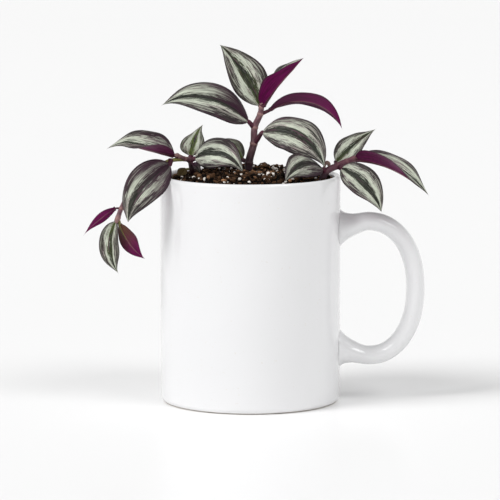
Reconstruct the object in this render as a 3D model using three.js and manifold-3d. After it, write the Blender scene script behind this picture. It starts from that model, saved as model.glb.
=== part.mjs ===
// A young tradescantia with three shoots, planted in a straight mug. Millimetres, +Z up.
// The origin is the centre of the mug's flat underside, and the handle points along +X.
import * as THREE from "three";
import { mergeVertices } from "three/addons/utils/BufferGeometryUtils.js";
import Module from "manifold-3d";

// ---- Driving dimensions ----

const GAP = 0.3; // left between pieces that touch
const FACETS = 72; // round the mug and the soil

const MUG = { radius: 40, height: 101, wall: 2.7, floor: 5, footRound: 2.5, innerRound: 6 };
const WALL_RINGS = [12, 36, 50, 64, 90]; // heights that part the outer wall round the handle's joins
const HANDLE = { thickness: 8.2, width: 12, flare: 1.25, flareLength: 17, sides: 16, steps: 40 };
// The handle's middle line, as [x, z], from inside the cup at the top to inside it below
const HANDLE_LINE = [
  [36, 76.8], [45, 78.6], [52.5, 80.2], [60.5, 78.4], [67.6, 72.2], [72, 62.5],
  [73.5, 50.5], [72, 37.5], [67, 27.2], [60, 21.4], [52.5, 20], [45, 21.6], [36, 24],
];

// The mound's height in the middle and at the wall, and where between them it has a ring of points
const SOIL = { crown: 102.6, edge: 98, flatness: 4, rings: [1, 0.85, 0.7, 0.5, 0.3] };

const STEM = { sides: 8, stepsPerJoint: 3 };
const BUD = { radius: 1.1, stem: "right_stem", along: 0.42, sides: 12, rings: 8 };

// The powers shape the half outline on each side of where the blade is widest.
const LEAF = {
  thickness: 0.8, midwayThickness: 0.64, tipThinning: 2.2, stations: 13,
  widestAt: 0.42, basePower: 0.6, tipPower: 1.6,
  stalkWidth: 2.2, stalkThickness: 1.1, stalkLength: 1,
  endSpread: 1, // how far from a stem's middle the leaves at its very end start
};

// Each stem is a line of joints from below the soil to its last node, and its radius at both ends
const STEMS = {
  upright_stem: {
    line: [
      [0, -2, 94], [-0.6, -2, 106.6], [1.5, -2, 115],
      [1.9, -2, 122.2], [4.4, -2, 128.2], [4.9, -2, 131.6],
    ],
    radius: [1.9, 1.15],
  },
  left_stem: {
    line: [
      [-24, 1, 95], [-25.9, -2, 104], [-26.8, -3, 107.6], [-29.3, -7, 108.8], [-32, -11.5, 110.6],
    ],
    radius: [1.3, 1],
  },
  left_trailing_stem: {
    line: [
      [-29.4, -9.4, 107], [-35.5, -14, 108.6], [-44, -14, 104.5],
      [-51.5, -14, 97], [-56.8, -15.5, 87.6], [-58.3, -16.5, 83.4],
    ],
    radius: [0.8, 1.1],
  },
  right_stem: {
    line: [
      [30, -10.5, 94], [33.2, -9, 103], [38.5, -6, 105.6], [42.5, -4.5, 107.2], [46, -3.4, 108.4],
    ],
    radius: [1.6, 1.3],
  },
};

const PLANTED = ["upright_stem", "left_stem", "right_stem"]; // these stand in sockets in the soil

// Angles in degrees. heading: the way the leaf points in plan, from +X towards +Y, and turn: how
// much that changes by the tip. rise: its slope at the base, and bend: how much that changes.
// roll: how far its upper face tips to the right of the way it points, and twist: how much that
// changes. fold: the slope of each half up from the midrib, and curl: how much of it the margin
// loses. stalk: the length and rise of a stalk, where the blade doesn't start at its stem.
const LEAVES = {
  upright_leaf_crown: {
    on: ["upright_stem", 5], heading: 155, turn: 25, rise: 58, bend: -6, roll: -52, twist: 0,
    fold: 16, curl: 10, length: 30, width: 17.5,
  },
  upright_leaf_crown_folded: {
    on: ["upright_stem", 5], heading: -32, turn: 12, rise: 51, bend: -13, roll: -4, twist: 30,
    fold: 48, curl: 10, length: 27, width: 15,
  },
  upright_leaf_upper_left: {
    on: ["upright_stem", 3], heading: 208, turn: -16, rise: 44, bend: -70, roll: -55, twist: 0,
    fold: 13, curl: 14, length: 44, width: 17.5, stalk: [2.4, 72],
  },
  upright_leaf_upper_right: {
    on: ["upright_stem", 4], heading: 6, turn: -6, rise: 31, bend: -97, roll: -62, twist: 0,
    fold: 34, curl: 10, length: 39, width: 10, stalk: [3, 45],
  },
  upright_leaf_lower_right: {
    on: ["upright_stem", 2], heading: -26, turn: 10, rise: 14, bend: -88, roll: 46, twist: 0,
    fold: 16, curl: 16, length: 36, width: 18, stalk: [6, 68],
  },
  upright_leaf_lower_left: {
    on: ["upright_stem", 1], heading: 141, turn: 0, rise: 45, bend: -84, roll: -30, twist: 0,
    fold: 20, curl: 12, length: 21, width: 12, stalk: [2, 30],
  },
  left_leaf_inner: {
    on: ["left_stem", 2], heading: -32, turn: 4, rise: 34, bend: -100, roll: 54, twist: 0,
    fold: 16, curl: 16, length: 31, width: 15.5,
  },
  left_leaf_raised: {
    on: ["left_stem", 2], heading: 78, turn: -64, rise: 52, bend: 4, roll: 60, twist: 0,
    fold: 14, curl: 10, length: 16, width: 14,
  },
  left_leaf_far: {
    on: ["left_stem", 4], heading: 188, turn: -8, rise: 22, bend: -36, roll: -8, twist: -34,
    fold: 50, curl: 16, length: 30, width: 18,
  },
  left_leaf_hanging: {
    on: ["left_trailing_stem", 1], heading: 221, turn: -58, rise: -22, bend: -62, roll: -64, twist: 0,
    fold: 14, curl: 12, length: 34, width: 17.5,
  },
  left_leaf_curled: {
    on: ["left_stem", 2], heading: -40, turn: 0, rise: -36, bend: -20, roll: 30, twist: 0,
    fold: 44, curl: 0, length: 5.5, width: 5,
  },
  left_leaf_small: {
    on: ["left_stem", 1], heading: 205, turn: 0, rise: -30, bend: -50, roll: -40, twist: 0,
    fold: 14, curl: 10, length: 5.5, width: 5, stalk: [2, 20],
  },
  trailing_leaf_outer: {
    on: ["left_trailing_stem", 4], heading: 194, turn: -20, rise: -26, bend: -20, roll: 55, twist: 0,
    fold: 24, curl: 10, length: 18, width: 6.5,
  },
  trailing_leaf_middle: {
    on: ["left_trailing_stem", 5], heading: 195, turn: 0, rise: -68, bend: -54, roll: -34, twist: -24,
    fold: 20, curl: 10, length: 24, width: 13,
  },
  trailing_leaf_inner: {
    on: ["left_trailing_stem", 5], heading: 8, turn: 0, rise: -68, bend: 20, roll: -48, twist: -60,
    fold: 20, curl: 10, length: 20, width: 9.5,
  },
  right_leaf_inner: {
    on: ["right_stem", 1], heading: -128, turn: 0, rise: 30, bend: -82, roll: -34, twist: 0,
    fold: 14, curl: 14, length: 31, width: 15,
  },
  right_leaf_raised: {
    on: ["right_stem", 2], heading: 44, turn: -46, rise: 38, bend: 2, roll: 52, twist: 0,
    fold: 20, curl: 10, length: 24, width: 15, stalk: [1.6, 60],
  },
  right_leaf_far: {
    on: ["right_stem", 4], heading: -18, turn: 8, rise: 4, bend: -60, roll: -15, twist: 40,
    fold: 50, curl: 14, length: 35.5, width: 17,
  },
  right_leaf_hanging: {
    on: ["right_stem", 2], heading: -42, turn: 52, rise: -15, bend: -54, roll: 46, twist: 0,
    fold: 16, curl: 12, length: 29, width: 14,
  },
};

// ---- Colours ----

const GLAZE = new THREE.MeshStandardMaterial({ color: 0xf2f2f2, roughness: 0.15 });
const EARTH = new THREE.MeshStandardMaterial({ color: 0x2e1d14, roughness: 0.95 });
const BARK = new THREE.MeshStandardMaterial({ color: 0x6b3648, roughness: 0.5 });
const BLADE = new THREE.MeshStandardMaterial({ color: 0x8d9a86, roughness: 0.45 });

// ---- Helpers ----

const degrees = THREE.MathUtils.degToRad;
const BORE_RADIUS = MUG.radius - MUG.wall;
const SOIL_RADIUS = BORE_RADIUS - GAP;
const MERGE_WITHIN = 1e-3;
const MUG_TOLERANCE = 0.1;
const SOIL_TOLERANCE = 0.05;

// A closed solid through rings of points, each end closed by a fan to a point of its own.
function loft(rings, startPoint, endPoint) {
  const sides = rings[0].length;
  const points = [...rings.flat(), startPoint, endPoint];
  const start = points.length - 2;
  const end = points.length - 1;
  const last = (rings.length - 1) * sides;
  const faces = [];
  for (let side = 0; side < sides; side++) {
    const next = (side + 1) % sides;
    faces.push(start, next, side, end, last + side, last + next);
    for (let ring = 0; ring < last; ring += sides) {
      faces.push(ring + side, ring + next, ring + sides + side);
      faces.push(ring + next, ring + sides + next, ring + sides + side);
    }
  }
  const geometry = new THREE.BufferGeometry().setFromPoints(points);
  geometry.setIndex(faces);
  geometry.computeVertexNormals();
  return geometry;
}

function centreOf(ring) {
  const sum = new THREE.Vector3();
  for (const point of ring) sum.add(point);
  return sum.divideScalar(ring.length);
}

// An elliptical ring about a point, a wide and a thick axis, run anticlockwise seen from ahead.
function ellipseRing(centre, wide, thick, halfWidth, halfThickness, sides) {
  return Array.from({ length: sides }, (_, index) => {
    const angle = (2 * Math.PI * index) / sides;
    return centre.clone()
      .addScaledVector(wide, halfWidth * Math.cos(angle))
      .addScaledVector(thick, halfThickness * Math.sin(angle));
  });
}

// A lathed solid about +Z from an outline of [radius, z] that starts and ends on the axis.
function turned(outline) {
  const points = outline.map(([radius, z]) => new THREE.Vector2(radius, z));
  return new THREE.LatheGeometry(points, FACETS).rotateX(Math.PI / 2);
}

// Points of a quarter round from one [radius, z] to another, about a centre.
function quarterRound([centreR, centreZ], radius, fromDegrees, toDegrees, steps = 4) {
  return Array.from({ length: steps + 1 }, (_, index) => {
    const angle = degrees(fromDegrees + ((toDegrees - fromDegrees) * index) / steps);
    return [centreR + radius * Math.cos(angle), centreZ + radius * Math.sin(angle)];
  });
}

// ---- Mug ----

const wasm = await Module();
wasm.setup();

function toSolid(geometry) {
  const bare = geometry.clone();
  bare.deleteAttribute("normal");
  bare.deleteAttribute("uv");
  const merged = mergeVertices(bare, MERGE_WITHIN);
  return new wasm.Manifold(new wasm.Mesh({
    numProp: 3,
    vertProperties: new Float32Array(merged.attributes.position.array),
    triVerts: new Uint32Array(merged.index.array),
  }));
}

// Cuts and joins leave edges far shorter than the shape needs, so those are merged away.
function toGeometry(solid, tolerance) {
  const { vertProperties, triVerts } = solid.simplify(tolerance).getMesh();
  const geometry = new THREE.BufferGeometry();
  geometry.setAttribute("position", new THREE.BufferAttribute(vertProperties, 3));
  geometry.setIndex(new THREE.BufferAttribute(triVerts, 1));
  geometry.computeVertexNormals();
  return geometry;
}

function cupGeometry() {
  const lip = MUG.wall / 2;
  return turned([
    [0, 0],
    ...quarterRound([MUG.radius - MUG.footRound, MUG.footRound], MUG.footRound, -90, 0),
    ...WALL_RINGS.map((z) => [MUG.radius, z]),
    ...quarterRound([MUG.radius - lip, MUG.height - lip], lip, 0, 180, 8),
    ...quarterRound([BORE_RADIUS - MUG.innerRound, MUG.floor + MUG.innerRound], MUG.innerRound, 0, -90),
    [0, MUG.floor],
  ]);
}

function handleGeometry() {
  const line = new THREE.CatmullRomCurve3(HANDLE_LINE.map(([x, z]) => new THREE.Vector3(x, 0, z)));
  const span = line.getLength();
  const across = new THREE.Vector3(0, 1, 0);
  const rings = [];
  for (let step = 0; step <= HANDLE.steps; step++) {
    const share = step / HANDLE.steps;
    const toEnd = Math.min(share, 1 - share) * span;
    const swell = 1 + HANDLE.flare * Math.max(0, 1 - toEnd / HANDLE.flareLength) ** 2;
    const thick = new THREE.Vector3().crossVectors(line.getTangentAt(share), across);
    rings.push(ellipseRing(
      line.getPointAt(share), across, thick,
      (HANDLE.width / 2) * swell, (HANDLE.thickness / 2) * swell, HANDLE.sides,
    ));
  }
  return loft(rings, centreOf(rings[0]), centreOf(rings.at(-1)));
}

// The handle's line starts and ends inside the cup, so its ends are cut off within the wall.
function mugGeometry() {
  const cut = BORE_RADIUS + MUG.wall / 3;
  const core = turned([[0, 0], [cut, 0], [cut, MUG.height], [0, MUG.height]]);
  const handle = toSolid(handleGeometry()).subtract(toSolid(core));
  return toGeometry(toSolid(cupGeometry()).add(handle), MUG_TOLERANCE);
}

// ---- Soil ----

function soilHeight(share) {
  return SOIL.crown - (SOIL.crown - SOIL.edge) * share ** SOIL.flatness;
}

function soilGeometry() {
  const bottom = MUG.floor + GAP;
  const mound = SOIL.rings.map((share) => [SOIL_RADIUS * share, soilHeight(share)]);
  const corner = quarterRound(
    [SOIL_RADIUS - MUG.innerRound, bottom + MUG.innerRound], MUG.innerRound, -90, 0,
  );
  let solid = toSolid(turned([[0, bottom], ...corner, ...mound, [0, SOIL.crown]]));
  for (const name of PLANTED) solid = solid.subtract(toSolid(stemGeometry(name, GAP)));
  return toGeometry(solid, SOIL_TOLERANCE);
}

// ---- Stems ----

function stemCurve(name) {
  return new THREE.CatmullRomCurve3(STEMS[name].line.map((point) => new THREE.Vector3(...point)));
}

function stemRadius(name, share) {
  const [foot, top] = STEMS[name].radius;
  return THREE.MathUtils.lerp(foot, top, share);
}

// A stem, or with a margin the wider shape of the socket that it stands in.
function stemGeometry(name, margin = 0) {
  const curve = stemCurve(name);
  const steps = STEMS[name].line.length * STEM.stepsPerJoint;
  const { binormals, normals } = curve.computeFrenetFrames(steps);
  const rings = Array.from({ length: steps + 1 }, (_, step) => {
    const radius = stemRadius(name, step / steps) + margin;
    const centre = curve.getPointAt(step / steps);
    return ellipseRing(centre, normals[step], binormals[step], radius, radius, STEM.sides);
  });
  const foot = centreOf(rings[0]).addScaledVector(curve.getTangentAt(0), -margin);
  return loft(rings, foot, centreOf(rings.at(-1)));
}

// ---- Leaves ----

// Half width at a share of the blade's length, as a share of the widest half: a round base and a
// drawn-out tip.
function outline(share) {
  if (share < LEAF.widestAt) return (1 - (1 - share / LEAF.widestAt) ** 2) ** LEAF.basePower;
  const beyond = (share - LEAF.widestAt) / (1 - LEAF.widestAt);
  return (1 - beyond ** LEAF.tipPower) ** LEAF.tipPower;
}

// The way a leaf points, and the way its upper face does, at one place on its midrib.
function frameAt(heading, pitch, roll) {
  const [h, p, r] = [heading, pitch, roll].map(degrees);
  const ahead = new THREE.Vector3(Math.cos(p) * Math.cos(h), Math.cos(p) * Math.sin(h), Math.sin(p));
  const level = new THREE.Vector3(-Math.sin(p) * Math.cos(h), -Math.sin(p) * Math.sin(h), Math.cos(p));
  const right = new THREE.Vector3().crossVectors(ahead, level);
  return {
    ahead,
    up: level.clone().multiplyScalar(Math.cos(r)).addScaledVector(right, Math.sin(r)),
    right: right.clone().multiplyScalar(Math.cos(r)).addScaledVector(level, -Math.sin(r)),
  };
}

// Where a blade's section is at a share of the half width, from the midrib (0) to the margin (1).
function sectionAt(share, half, leaf) {
  const slope = degrees(leaf.fold - (leaf.curl * share) / 2);
  return { out: half * share * Math.cos(slope), up: half * share * Math.sin(slope) };
}

// Eight points round a section: the margins, the midrib above and below, and midway between them.
function leafRing(centre, frame, half, thickness, leaf) {
  const at = (side, share, lift) => {
    const { out, up } = sectionAt(share, half, leaf);
    return centre.clone()
      .addScaledVector(frame.right, side * out)
      .addScaledVector(frame.up, up + lift);
  };
  const rib = thickness / 2;
  const midway = rib * (LEAF.midwayThickness / LEAF.thickness);
  return [
    at(-1, 1, 0), at(-1, 0.5, midway), at(1, 0, rib), at(1, 0.5, midway),
    at(1, 1, 0), at(1, 0.5, -midway), at(1, 0, -rib), at(-1, 0.5, -midway),
  ];
}

// A leaf starts square to its stem, or past its end at the last node, and clear of it by the gap
// however much it leans.
function leafBase(leaf, ahead) {
  const [name, node] = leaf.on;
  const { line } = STEMS[name];
  const share = node / (line.length - 1);
  const along = stemCurve(name).getTangent(share);
  const outward = ahead.clone().addScaledVector(along, -ahead.dot(along)).normalize();
  const lean = ahead.dot(along);
  const base = new THREE.Vector3(...line[node]);
  if (share === 1) {
    const clear = GAP + (LEAF.stalkWidth / 2) * Math.sqrt(1 - lean ** 2);
    return base.addScaledVector(outward, LEAF.endSpread).addScaledVector(along, clear);
  }
  const clear = stemRadius(name, share) + GAP + (LEAF.stalkThickness / 2) * Math.abs(lean);
  return base.addScaledVector(outward, clear);
}

function leafGeometry(leaf) {
  const [stalkLength, stalkRise] = leaf.stalk ?? [LEAF.stalkLength, leaf.rise];
  const stalk = frameAt(leaf.heading, stalkRise, leaf.roll);
  const foot = leafBase(leaf, stalk.ahead);
  const place = foot.clone();
  const rings = [leafRing(place, stalk, LEAF.stalkWidth / 2, LEAF.stalkThickness, leaf)];
  place.addScaledVector(stalk.ahead, stalkLength);
  let share = 0;
  let frame = frameAt(leaf.heading, leaf.rise, leaf.roll);
  for (let station = 0; station < LEAF.stations; station++) {
    const next = (1 - Math.cos((Math.PI * station) / LEAF.stations)) / 2;
    place.addScaledVector(frame.ahead, (next - share) * leaf.length);
    share = next;
    frame = frameAt(
      leaf.heading + leaf.turn * share, leaf.rise + leaf.bend * share, leaf.roll + leaf.twist * share,
    );
    const neck = (LEAF.stalkWidth / 2) * (1 - share) ** 3;
    const half = Math.max(neck, (leaf.width / 2) * outline(share));
    const thickness = LEAF.thickness * Math.min(1, LEAF.tipThinning * (1 - share));
    rings.push(leafRing(place, frame, half, thickness, leaf));
  }
  const tip = place.clone().addScaledVector(frame.ahead, (1 - share) * leaf.length);
  return loft(rings, foot, tip);
}

// ---- Bud ----

function budGeometry() {
  const place = stemCurve(BUD.stem).getPointAt(BUD.along);
  const lift = stemRadius(BUD.stem, BUD.along) + GAP + BUD.radius;
  return new THREE.SphereGeometry(BUD.radius, BUD.sides, BUD.rings)
    .translate(place.x, place.y, place.z + lift);
}

// ---- Assembly ----

const plant = new THREE.Group();

function add(name, geometry, material) {
  const mesh = new THREE.Mesh(geometry, material);
  mesh.name = name;
  plant.add(mesh);
}

add("mug", mugGeometry(), GLAZE);
add("soil", soilGeometry(), EARTH);
for (const name of Object.keys(STEMS)) add(name, stemGeometry(name), BARK);
for (const [name, leaf] of Object.entries(LEAVES)) add(name, leafGeometry(leaf), BLADE);
add("right_bud", budGeometry(), BARK);

export default plant;
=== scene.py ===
"""A young tradescantia in a white mug, laid out as an add-on and run as a script.

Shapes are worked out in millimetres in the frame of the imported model, and each finished piece is
scaled to metres. The frame's origin is the centre of the mug's underside, +X is towards the
handle, and the front is seen along +Y.
"""

import math
import random

import bmesh
import bpy
from bpy.props import FloatProperty, FloatVectorProperty, IntProperty, PointerProperty
from mathutils import Matrix, Vector, noise


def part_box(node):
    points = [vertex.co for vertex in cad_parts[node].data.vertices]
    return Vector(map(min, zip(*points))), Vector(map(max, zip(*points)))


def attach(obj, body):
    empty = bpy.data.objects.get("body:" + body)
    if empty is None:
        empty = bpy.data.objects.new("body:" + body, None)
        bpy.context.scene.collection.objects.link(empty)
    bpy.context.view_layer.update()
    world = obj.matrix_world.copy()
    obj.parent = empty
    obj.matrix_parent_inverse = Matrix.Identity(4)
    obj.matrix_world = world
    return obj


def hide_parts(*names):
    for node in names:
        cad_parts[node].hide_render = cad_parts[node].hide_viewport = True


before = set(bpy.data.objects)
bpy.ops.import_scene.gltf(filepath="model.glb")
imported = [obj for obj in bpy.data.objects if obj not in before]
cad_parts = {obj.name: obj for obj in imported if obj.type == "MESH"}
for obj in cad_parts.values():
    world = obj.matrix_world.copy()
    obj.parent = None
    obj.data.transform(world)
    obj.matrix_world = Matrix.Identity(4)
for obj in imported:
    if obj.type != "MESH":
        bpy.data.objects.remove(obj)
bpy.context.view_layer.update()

bl_info = {
    "name": "Potted tradescantia",
    "version": (1, 0, 0),
    "blender": (4, 5, 0),
    "location": "3D View > Sidebar > Tradescantia",
    "description": "Models a young zebra-leaved tradescantia planted in a white mug",
    "category": "Add Mesh",
}

MM = 0.001
PANEL_TAB = "Tradescantia"
UV_NAME = "surface"


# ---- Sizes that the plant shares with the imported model, in millimetres and degrees ----

CUP_RADIUS = 40.0
CUP_HEIGHT = 101.0
CUP_FLOOR = 5
INNER_CORNER = 6
BORE = 37.3
SOIL_GAP = 0.3
SOIL_RADIUS = BORE - SOIL_GAP
SOIL_EDGE = 98.0
SOIL_CROWN = 102.6
SOIL_FLATNESS = 4

# The handle's middle line, as (x, z)
HANDLE_LINE = [
    (36, 76.8), (45, 78.6), (52.5, 80.2), (60.5, 78.4), (67.6, 72.2), (72, 62.5),
    (73.5, 50.5), (72, 37.5), (67, 27.2), (60, 21.4), (52.5, 20), (45, 21.6), (36, 24),
]

HANGING_STEM = "left_trailing_stem"

# Each stem: its joints from below the soil to its last node, and its radius at both ends
STEMS = {
    "upright_stem": (
        [(0, -2, 94), (-0.6, -2, 106.6), (1.5, -2, 115), (1.9, -2, 122.2),
         (4.4, -2, 128.2), (4.9, -2, 131.6)],
        (1.9, 1.15),
    ),
    "left_stem": (
        [(-24, 1, 95), (-25.9, -2, 104), (-26.8, -3, 107.6), (-29.3, -7, 108.8), (-32, -11.5, 110.6)],
        (1.3, 1),
    ),
    "left_trailing_stem": (
        [(-29, -6.6, 108.5), (-35.5, -14, 108.6), (-44, -14, 104.5), (-51.5, -14, 97),
         (-56.8, -15.5, 87.6), (-58.3, -16.5, 83.4)],
        (0.8, 1.1),
    ),
    "right_stem": (
        [(30, -10.5, 94), (33.2, -9, 103), (38.5, -6, 105.6), (42.5, -4.5, 107.2), (46, -3.4, 108.4)],
        (1.6, 1.3),
    ),
}

GAP = 0.3  # from a stem to the stalks on its side
END_SPREAD = 1  # from the middle of a stem's end to the stalks there
STALK_LENGTH = 1
STALK_WIDTH = 2.2
STALK_THICKNESS = 1.1
STATIONS = 13  # steps along a midrib, closer together towards its ends
BASE_POWER = 0.6  # power of a leaf's outline from its base to its widest place
BLUNT_TIP = 0.03  # half width that a leaf keeps until its very tip
COLOUR_KEYS = ("youth", "tint", "tint_side", "olive", "silvering")


class Leaf:
    """One leaf: where it grows, how it is held, its size, and how it is coloured.

    It turns, bends, twists and unfolds by these amounts from its base to its tip. Its colours go
    from 0 to 1: how young, purple-tinted, olive and silvered it is. The tint lies on both halves,
    or with a side of 1 or -1 mostly on the right or the left one. The flick moves the tip to the
    right and up, in millimetres.
    """

    def __init__(self, stem, node, heading, turn, rise, bend, roll, twist, fold, curl, length, width,
                 stalk=None, unfold=0.0, widest=0.42, taper=1.6, flick=(0, 0),
                 youth=0.0, tint=0.0, tint_side=0.0, olive=0.0, silvering=1.0):
        self.stem, self.node = stem, node
        self.heading, self.turn = heading, turn
        self.rise, self.bend = rise, bend
        self.roll, self.twist = roll, twist
        self.fold, self.curl, self.unfold = fold, curl, unfold
        self.length, self.width = length, width
        self.stalk = stalk or (STALK_LENGTH, rise)
        self.widest, self.taper, self.flick = widest, taper, flick
        self.youth, self.olive, self.silvering = youth, olive, silvering
        self.tint, self.tint_side = tint, tint_side

    def frame_at(self, share):
        return leaf_frame(
            self.heading + self.turn * share, self.rise + self.bend * share, self.roll + self.twist * share)


# Each leaf: its stem and node, heading and turn, rise and bend, roll and twist, fold, curl, length
# and width, and then what it doesn't share with most others
LEAVES = {
    "upright_leaf_crown": Leaf(
        "upright_stem", 5, 153, 25, 64, -20, -50, 0, 16, 10, 32.8, 18,
        stalk=(-0.8, 64), taper=1.35, flick=(-0.4, 0.4), youth=0.5),
    "upright_leaf_crown_folded": Leaf(
        "upright_stem", 5, -32, 12, 52, -10, -5, 32, 54, 10, 30, 14.5,
        stalk=(-0.8, 52), taper=1.4),
    "upright_leaf_upper_left": Leaf(
        "upright_stem", 3, 208, -16, 44, -70, -56, 0, 4, 14, 45, 18,
        stalk=(2.4, 72), widest=0.4, flick=(-1, 0), tint=1.0, tint_side=1.0),
    "upright_leaf_upper_right": Leaf(
        "upright_stem", 4, 6, -6, 31, -103, -62, 0, 40, 10, 38.5, 8.6,
        stalk=(3, 45), widest=0.56, taper=1.7, tint=0.8),
    "upright_leaf_lower_right": Leaf(
        "upright_stem", 2, -26, 10, 14, -88, 52, 0, 6, 16, 36, 18,
        stalk=(6, 68), widest=0.48, taper=1.3, silvering=0.88),
    "upright_leaf_lower_left": Leaf(
        "upright_stem", 1, 141, 0, 45, -84, -30, 0, 20, 12, 21, 11,
        stalk=(2, 30), youth=1.0, silvering=0.35),
    "left_leaf_inner": Leaf(
        "left_stem", 2, -32, 4, 30, -100, 60, 0, 6, 16, 30.5, 15.5,
        widest=0.38, taper=2.3),
    "left_leaf_raised": Leaf(
        "left_stem", 2, 74, -50, 55, 4, 4, 0, 14, 10, 16, 12.4,
        widest=0.3, taper=1.4, youth=1.0, silvering=0.88),
    "left_leaf_far": Leaf(
        "left_stem", 4, 188, -8, 12, 8, -6, -27, 54, 16, 29.5, 21.5,
        stalk=(0, 8), unfold=-37, flick=(0, -7), tint=0.5),
    "left_leaf_hanging": Leaf(
        "left_trailing_stem", 1, 221, -60, -23, -62, -64, 0, 8, 12, 33.5, 17,
        taper=1.05, tint=0.8),
    "left_leaf_curled": Leaf(
        "left_stem", 2, -40, 0, -36, -20, 30, 0, 44, 0, 5.5, 5, tint=1.0, silvering=0.15),
    "left_leaf_small": Leaf(
        "left_stem", 1, 205, 0, -30, -50, -40, 0, 14, 10, 5.5, 5,
        stalk=(1, 20), olive=1.0),
    "trailing_leaf_outer": Leaf(
        "left_trailing_stem", 4, 194, -20, -30, -20, 75, 0, 10, 10, 18.5, 4.6,
        widest=0.36, taper=2.1, flick=(0, -1)),
    "trailing_leaf_middle": Leaf(
        "left_trailing_stem", 5, 199, 0, -68, -54, -22, -24, 20, 10, 24, 12.5,
        youth=0.6),
    "trailing_leaf_inner": Leaf(
        "left_trailing_stem", 5, 0, 0, -72, 38, -48, -60, 20, 10, 19.5, 8.4,
        olive=0.8),
    "right_leaf_inner": Leaf(
        "right_stem", 1, -128, 0, 30, -82, -42, -20, -6, 14, 30, 13.5,
        taper=1.3, tint=0.5, silvering=0.85),
    "right_leaf_raised": Leaf(
        "right_stem", 2, 48, -48, 33, 2, 49, 0, 20, 10, 25, 11.2,
        stalk=(1, 30), widest=0.35, youth=0.5),
    "right_leaf_far": Leaf(
        "right_stem", 4, -18, 8, -4, -46, -15, 40, 50, 14, 38.2, 19.5,
        stalk=(-1.2, -5), unfold=-29, widest=0.36, tint=0.4),
    "right_leaf_hanging": Leaf(
        "right_stem", 2, -42, 20, -14, -59, 50, 0, 16, 12, 29, 14,
        taper=1.3, silvering=0.88),
}


# ---- Colours ----

def linear(code):
    """A scene-linear colour from an sRGB code such as 0xC3CBB8."""
    channels = [(code >> shift & 255) / 255 for shift in (16, 8, 0)]
    return tuple(c / 12.92 if c <= 0.04045 else ((c + 0.055) / 1.055) ** 2.4 for c in channels)


def colour_property(label, what, code):
    return FloatVectorProperty(
        name=label, description=f"Colour of {what}", subtype="COLOR", size=3, min=0, max=1,
        default=linear(code))


class MugSettings(bpy.types.PropertyGroup):
    """Sizes and colours of the mug"""

    wall: FloatProperty(
        name="Wall", description="Thickness of the cup's wall, in millimetres", default=2.7, min=1, max=6)
    facets: IntProperty(
        name="Facets", description="Faces round the cup", default=192, min=32, max=512)
    handle_width: FloatProperty(
        name="Handle width", description="Width of the handle's strap, in millimetres", default=12, min=5)
    handle_thickness: FloatProperty(
        name="Handle thickness", description="Thickness of the handle, in millimetres", default=8.2, min=3)
    glaze: colour_property("Glaze", "the white glaze", 0xE9E9EA)
    clay: colour_property("Clay", "the bare clay of the foot", 0xD9D0C2)


class SoilSettings(bpy.types.PropertyGroup):
    """How much of each kind of grain lies on the soil, and its colours"""

    crumbs: IntProperty(name="Crumbs", description="Number of small dark crumbs", default=3200, min=0)
    lumps: IntProperty(name="Lumps", description="Number of larger dark lumps", default=420, min=0)
    chips: IntProperty(name="Bark chips", description="Number of bark chips", default=180, min=0)
    perlite: IntProperty(name="Perlite", description="Number of perlite grains", default=130, min=0)
    seed: IntProperty(name="Seed", description="Start of the random draws", default=11, min=0)
    dark: colour_property("Dark soil", "the darkest soil", 0x0A0503)
    light: colour_property("Light soil", "the lightest crumbs", 0x5C422E)
    bark: colour_property("Bark", "the lightest bark", 0xA27A5A)
    white: colour_property("Perlite", "the perlite", 0xF0EAE2)


class PlantSettings(bpy.types.PropertyGroup):
    """Colours of the leaves and stems, and the mesh density of the leaves"""

    rows: IntProperty(name="Rows", description="Faces along each leaf", default=52, min=8, max=200)
    columns: IntProperty(name="Columns", description="Faces across each leaf", default=24, min=4, max=100)
    thickness: FloatProperty(
        name="Leaf thickness", description="Thickness at the midrib, in millimetres", default=0.5, min=0.1)
    silver: colour_property("Silver", "the two silver bands", 0xD0D6C4)
    blush: colour_property("Blush", "the silver where it turns pink", 0xCDBCBA)
    centre: colour_property("Centre", "the dark band along the midrib", 0x30342A)
    outer: colour_property("Outer", "the purple-grey bands at the margins", 0x46323C)
    fleck: colour_property("Fleck", "the purple flecks", 0x5A3448)
    deep: colour_property("Deep", "the purple tint at a leaf's base", 0x341128)
    green: colour_property("Green", "the centre of a young leaf", 0x5A6A24)
    olive: colour_property("Olive", "a fading leaf", 0x5A4A26)
    under: colour_property("Underside", "the undersides", 0x6E0750)
    stem: colour_property("Stem", "the stems between their nodes", 0x8E6A70)
    node: colour_property("Node", "the nodes", 0xA8827C)
    sheath: colour_property("Sheath", "the sheaths at the nodes", 0x561F35)
    shoot: colour_property("Shoot", "the fresh parts of the stems and stalks", 0x8C8A48)


class StudioSettings(bpy.types.PropertyGroup):
    """The floor and the lights"""

    floor: colour_property("Floor", "the floor", 0xFDFDFD)
    overhead: FloatProperty(
        name="Overhead", description="Strength of the even light from above", default=0.33)
    horizon: FloatProperty(
        name="Horizon", description="Strength of the even light from all round", default=0.9)
    key: FloatProperty(name="Key", description="Strength of the lamp at the front left", default=1.95)
    fill: FloatProperty(name="Fill", description="Strength of the lamp at the front right", default=0.9)
    softness: FloatProperty(
        name="Softness", description="How wide the lamps look, in degrees", default=26, min=0, max=90)


# ---- Shader helpers ----

def put(tree, kind, inputs=None, **settings):
    """A new node with its settings, and its inputs linked from sockets or set to values."""
    node = tree.nodes.new(kind)
    for key, value in settings.items():
        setattr(node, key, value)
    for key, value in (inputs or {}).items():
        if isinstance(value, bpy.types.NodeSocket):
            tree.links.new(value, node.inputs[key])
        else:
            node.inputs[key].default_value = value
    return node


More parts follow.
